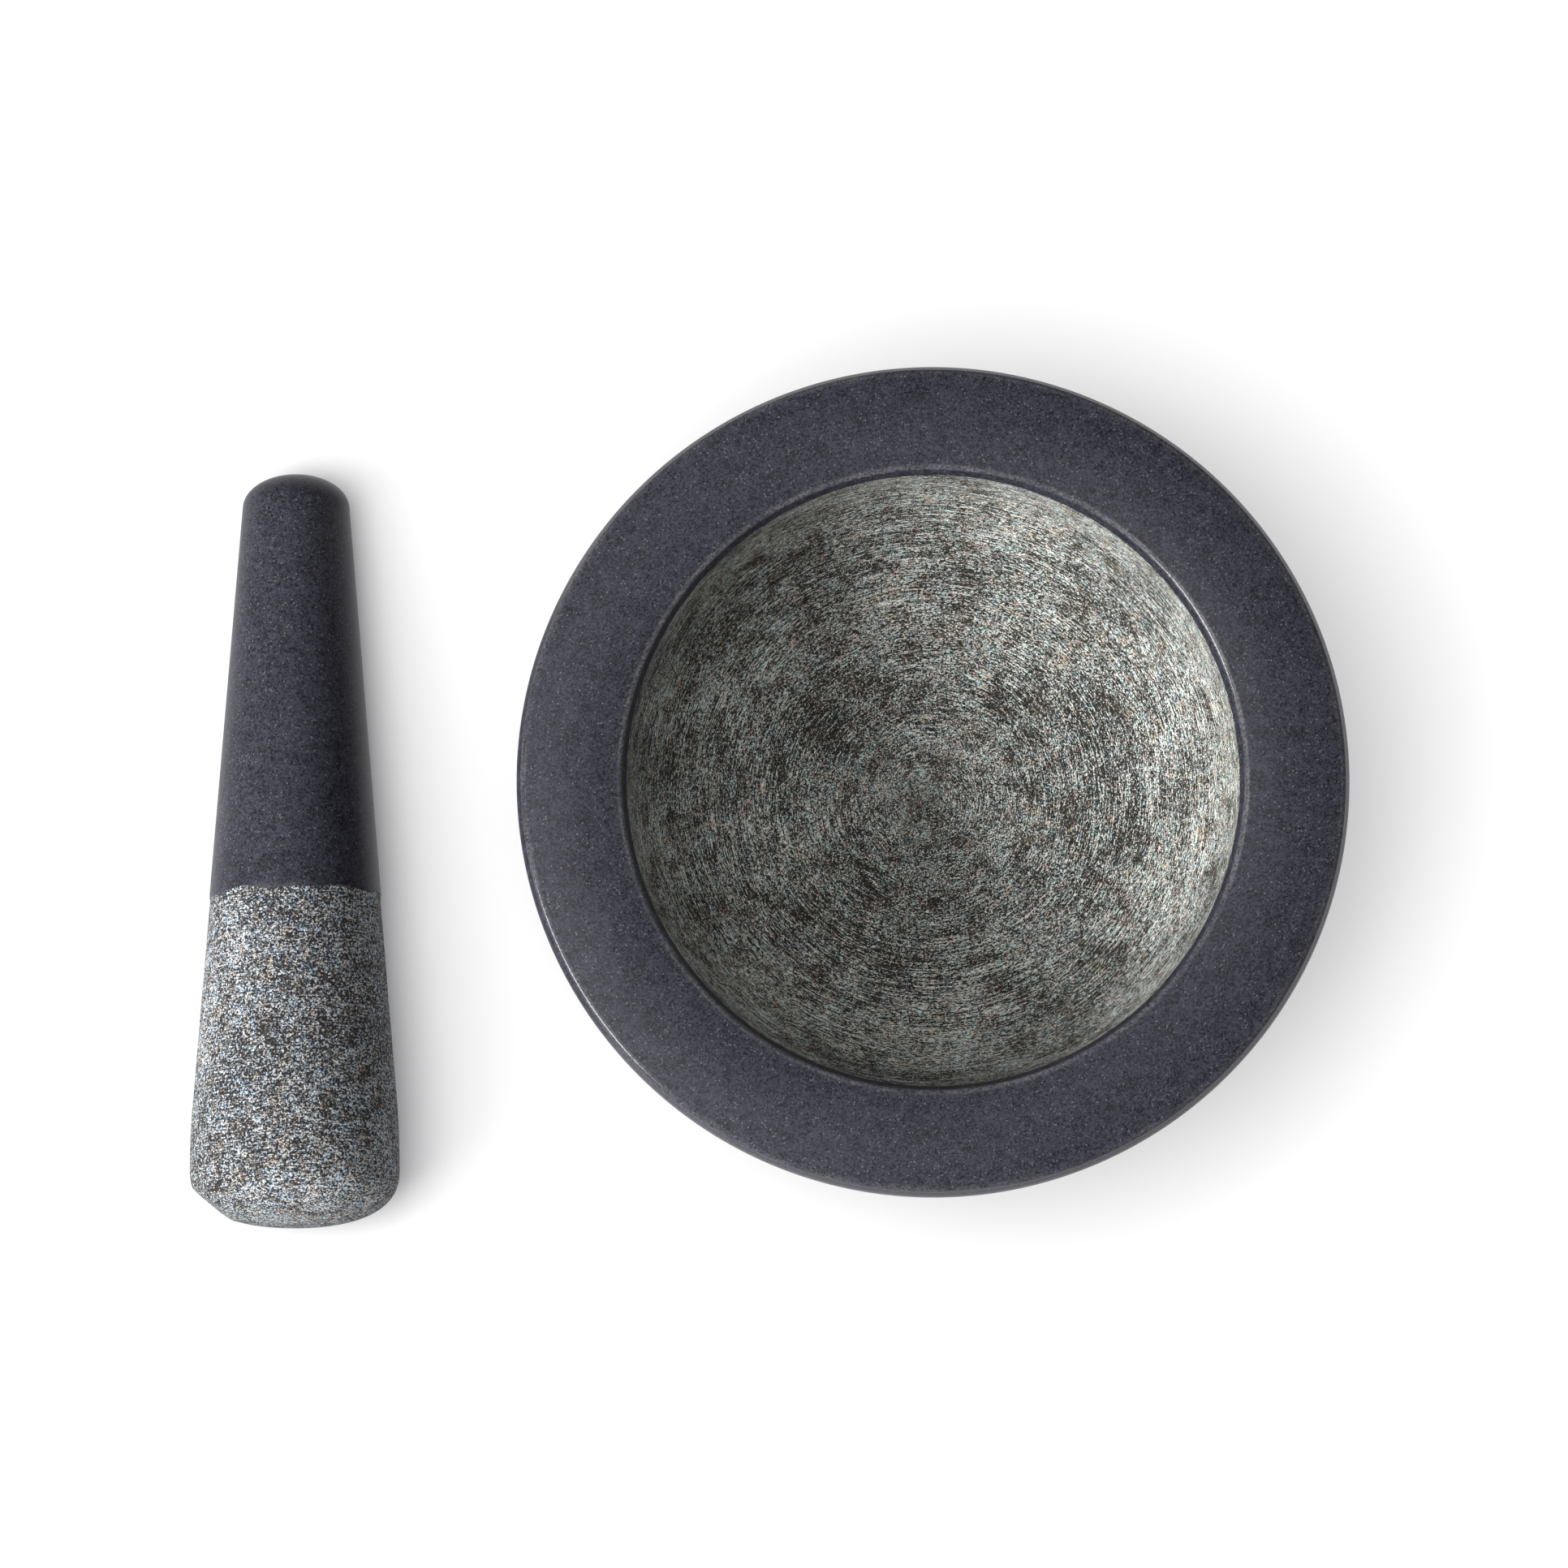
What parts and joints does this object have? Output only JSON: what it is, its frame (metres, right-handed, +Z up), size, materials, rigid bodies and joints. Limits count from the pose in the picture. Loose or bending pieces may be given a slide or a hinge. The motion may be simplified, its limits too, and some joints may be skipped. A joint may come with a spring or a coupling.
{
  "type": "molcajete",
  "caption": "Turned stone molcajete: a squat mortar with a wide honed rim and a ground round-bottomed bowl, and a loose tapered pestle lying beside it.",
  "frame": {"origin": "centre of the mortar's flat foot, on the table that both pieces stand or lie on", "axes": "+Z up along the mortar's turning axis, +X away from the pestle, +Y towards the pestle's handle end"},
  "size_m": [0.255, 0.1838, 0.085],
  "materials": {
    "mortar_stone": "satin",
    "pestle_stone": "satin"
  },
  "bodies": {
    "mortar": {"mortar": "mortar_stone"},
    "pestle": {"pestle": "pestle_stone"}
  },
  "joints": [
    {"name": "pestle_lift", "type": "slide", "parent": "mortar", "child": "pestle", "axis": [0, 0, 1], "range_m": [0, 0.25]}
  ]
}
